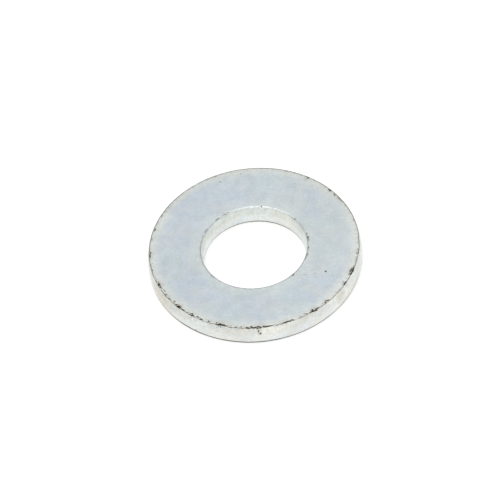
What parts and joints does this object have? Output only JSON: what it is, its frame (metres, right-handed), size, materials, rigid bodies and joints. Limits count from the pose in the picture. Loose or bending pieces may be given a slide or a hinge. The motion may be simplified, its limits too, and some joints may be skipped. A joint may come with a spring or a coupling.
{
  "type": "flat washer",
  "caption": "Plain flat washer: a flat steel ring, zinc plated, that spreads a bolt head's or nut's load and passes the bolt through its bore.",
  "frame": {"origin": "centre of the bore on the die side, which is the face the washer lies on", "axes": "+Z along the bore's axis, from the die side with its rolled edges to the burr side; the ring is round, so X and Y are any two directions across it"},
  "size_m": [0.027, 0.027, 0.0027],
  "materials": {
    "zinc_plated_steel": "bright zinc plating with a pale blue-grey cast, satin faces, burnished walls and a rough fracture edge on the burr side"
  },
  "bodies": {
    "root": {"flat_washer": "zinc_plated_steel"}
  },
  "joints": []
}
